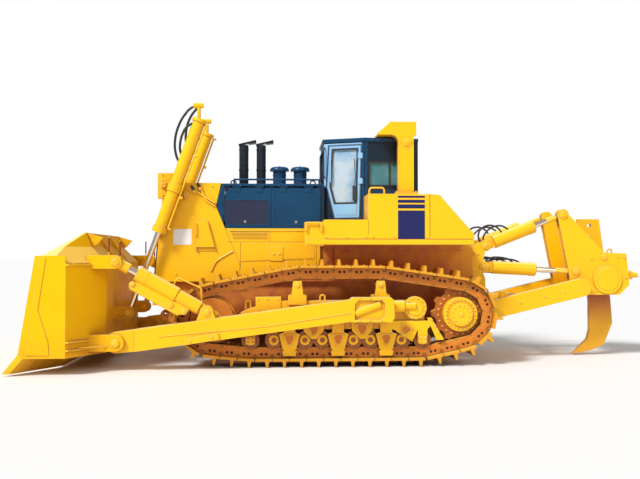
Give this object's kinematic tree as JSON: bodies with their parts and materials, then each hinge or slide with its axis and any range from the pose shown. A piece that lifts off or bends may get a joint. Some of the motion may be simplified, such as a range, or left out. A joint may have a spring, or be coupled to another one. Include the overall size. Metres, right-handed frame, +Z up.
{
  "type": "bulldozer",
  "caption": "Large yellow track-type bulldozer with a U-shaped blade on push arms, blue hood and cab, roll-over frame and a rear single-shank ripper.",
  "frame": {"origin": "ground level under the middle of the overall box, blade edge to pin puller", "axes": "+X forward towards the blade, +Y to the machine's left, +Z up"},
  "size_m": [12.24, 5.26, 5.027],
  "materials": {
    "yellow_paint": "gloss",
    "blue_paint": "gloss",
    "light_blue_paint": "gloss",
    "glass": "gloss",
    "rod_chrome": "polished",
    "dark_metal": "matte",
    "seat_cloth": "matte",
    "worn_steel": "worn",
    "hose_rubber": "matte"
  },
  "bodies": {
    "tractor": {"air_cleaners": "blue_paint", "cab_glass": "glass", "cab_shell": "blue_paint", "deck": "yellow_paint", "engine_block": "dark_metal", "engine_hood": "blue_paint", "engine_side_panels": "yellow_paint", "exhaust_stacks": "blue_paint", "fender_left": "yellow_paint", "fender_right": "yellow_paint", "final_drives": "yellow_paint", "hood_frame": "blue_paint", "hood_rails": "blue_paint", "hull": "yellow_paint", "idlers": "yellow_paint", "operator_seat": "seat_cloth", "radiator_grille": "dark_metal", "radiator_guard": "yellow_paint", "rear_tank": "yellow_paint", "ripper_mounts": "yellow_paint", "rops_frame": "yellow_paint", "sprockets": "yellow_paint", "track_frame_left": "yellow_paint", "track_frame_right": "yellow_paint", "track_left": "yellow_paint", "track_right": "yellow_paint", "track_rollers": "yellow_paint"},
    "push_frame": {"push_arm_left": "yellow_paint", "push_arm_right": "yellow_paint"},
    "blade": {"blade_centre": "yellow_paint", "blade_wing_left": "yellow_paint", "blade_wing_right": "yellow_paint", "cutting_edges": "yellow_paint"},
    "lift_barrels": {"lift_barrels": "yellow_paint", "lift_hoses": "hose_rubber"},
    "lift_rods": {"lift_rods": "rod_chrome"},
    "pitch_barrels": {"pitch_barrels": "yellow_paint"},
    "pitch_rods": {"pitch_rods": "rod_chrome"},
    "ripper_arm": {"ripper_arm": "yellow_paint"},
    "ripper_pins": {"ripper_pins": "yellow_paint"},
    "ripper_beam": {"ripper_beam": "yellow_paint", "ripper_shank": "yellow_paint", "ripper_point": "worn_steel", "pin_puller": "yellow_paint"},
    "ripper_tilt_barrels": {"ripper_tilt_barrels": "yellow_paint", "ripper_tilt_hoses": "hose_rubber"},
    "ripper_tilt_rods": {"ripper_tilt_rods": "rod_chrome"},
    "ripper_lift_barrels": {"ripper_lift_barrels": "yellow_paint", "ripper_lift_hoses": "hose_rubber"},
    "ripper_lift_rods": {"ripper_lift_rods": "rod_chrome"},
    "cab_door_left": {"cab_door_left": "light_blue_paint", "cab_door_glass_left": "glass"},
    "cab_door_right": {"cab_door_right": "light_blue_paint", "cab_door_glass_right": "glass"},
    "engine_door_front_left": {"engine_door_front_left": "blue_paint"},
    "engine_door_front_right": {"engine_door_front_right": "blue_paint"},
    "engine_door_rear_left": {"engine_door_rear_left": "blue_paint"},
    "engine_door_rear_right": {"engine_door_rear_right": "blue_paint"}
  },
  "joints": [
    {"name": "blade_lift", "type": "hinge", "parent": "tractor", "child": "push_frame", "pos_m": [-0.225, 0, 1.055], "axis": [0, -1, 0], "range_deg": [-9, 14.5]},
    {"name": "blade_pitch", "type": "hinge", "parent": "push_frame", "child": "blade", "pos_m": [4.3, 0, 0.512], "axis": [0, 1, 0], "range_deg": [-6, 6]},
    {"name": "lift_barrel_swing", "type": "hinge", "parent": "tractor", "child": "lift_barrels", "pos_m": [3.407, 0, 3.377], "axis": [0, -1, 0], "range_deg": [-6.5, 10]},
    {"name": "lift_rod_slide", "type": "slide", "parent": "lift_barrels", "child": "lift_rods", "axis": [0.3383, 0, -0.941], "range_m": [-1.08, 0.68]},
    {"name": "pitch_barrel_swing", "type": "hinge", "parent": "push_frame", "child": "pitch_barrels", "pos_m": [2.699, 0, 1.048], "axis": [0, 1, 0], "range_deg": [-2.5, 2.5]},
    {"name": "pitch_rod_slide", "type": "slide", "parent": "pitch_barrels", "child": "pitch_rods", "axis": [0.874, 0, 0.4859], "range_m": [-0.135, 0.135]},
    {"name": "ripper_lift", "type": "hinge", "parent": "tractor", "child": "ripper_arm", "pos_m": [-2.72, 0, 0.96], "axis": [0, 1, 0], "range_deg": [-33, 32]},
    {"name": "ripper_pin_turn", "type": "hinge", "parent": "ripper_arm", "child": "ripper_pins", "pos_m": [-4.66, 0, 1.43], "axis": [0, 1, 0], "range_deg": [-27, 28]},
    {"name": "ripper_tilt", "type": "hinge", "parent": "ripper_pins", "child": "ripper_beam", "pos_m": [-4.66, 0, 1.43], "axis": [0, 1, 0], "range_deg": [-9, 9]},
    {"name": "ripper_tilt_barrel_swing", "type": "hinge", "parent": "tractor", "child": "ripper_tilt_barrels", "pos_m": [-2.744, 0, 2.262], "axis": [0, 1, 0], "range_deg": [-40, 39]},
    {"name": "ripper_tilt_rod_slide", "type": "slide", "parent": "ripper_tilt_barrels", "child": "ripper_tilt_rods", "axis": [-0.9299, 0, 0.3679], "range_m": [-0.24, 0.24]},
    {"name": "ripper_lift_barrel_swing", "type": "hinge", "parent": "tractor", "child": "ripper_lift_barrels", "pos_m": [-2.7, 0, 1.845], "axis": [0, 1, 0], "range_deg": [-34, 33]},
    {"name": "ripper_lift_rod_slide", "type": "slide", "parent": "ripper_lift_barrels", "child": "ripper_lift_rods", "axis": [-0.9986, 0, -0.0527], "range_m": [-0.36, 0.36]},
    {"name": "cab_door_left_hinge", "type": "hinge", "parent": "tractor", "child": "cab_door_left", "pos_m": [-0.2294, 0.9166, 3.5], "axis": [0, 0, 1], "range_deg": [0, 80]},
    {"name": "cab_door_right_hinge", "type": "hinge", "parent": "tractor", "child": "cab_door_right", "pos_m": [-0.2294, -0.9166, 3.5], "axis": [0, 0, -1], "range_deg": [0, 80]},
    {"name": "engine_door_front_left_hinge", "type": "hinge", "parent": "tractor", "child": "engine_door_front_left", "pos_m": [2, 0.776, 3.412], "axis": [1, 0, 0], "range_deg": [0, 75]},
    {"name": "engine_door_front_right_hinge", "type": "hinge", "parent": "tractor", "child": "engine_door_front_right", "pos_m": [2, -0.776, 3.412], "axis": [-1, 0, 0], "range_deg": [0, 75]},
    {"name": "engine_door_rear_left_hinge", "type": "hinge", "parent": "tractor", "child": "engine_door_rear_left", "pos_m": [1.06, 0.776, 3.412], "axis": [1, 0, 0], "range_deg": [0, 75]},
    {"name": "engine_door_rear_right_hinge", "type": "hinge", "parent": "tractor", "child": "engine_door_rear_right", "pos_m": [1.06, -0.776, 3.412], "axis": [-1, 0, 0], "range_deg": [0, 75]}
  ],
  "couplings": [
    {"joint": "lift_barrel_swing", "follows": "blade_lift", "ratio": 0.65},
    {"joint": "lift_rod_slide", "follows": "blade_lift", "m_per_rad": -4.22},
    {"joint": "pitch_barrel_swing", "follows": "blade_pitch", "ratio": 0.39},
    {"joint": "pitch_rod_slide", "follows": "blade_pitch", "m_per_rad": 1.25},
    {"joint": "ripper_pin_turn", "follows": "ripper_lift", "ratio": -0.8},
    {"joint": "ripper_tilt_barrel_swing", "follows": "ripper_lift", "ratio": 1.16},
    {"joint": "ripper_tilt_rod_slide", "follows": "ripper_tilt", "m_per_rad": -1.479},
    {"joint": "ripper_lift_barrel_swing", "follows": "ripper_lift", "ratio": 1},
    {"joint": "ripper_lift_rod_slide", "follows": "ripper_lift", "m_per_rad": -0.6}
  ]
}
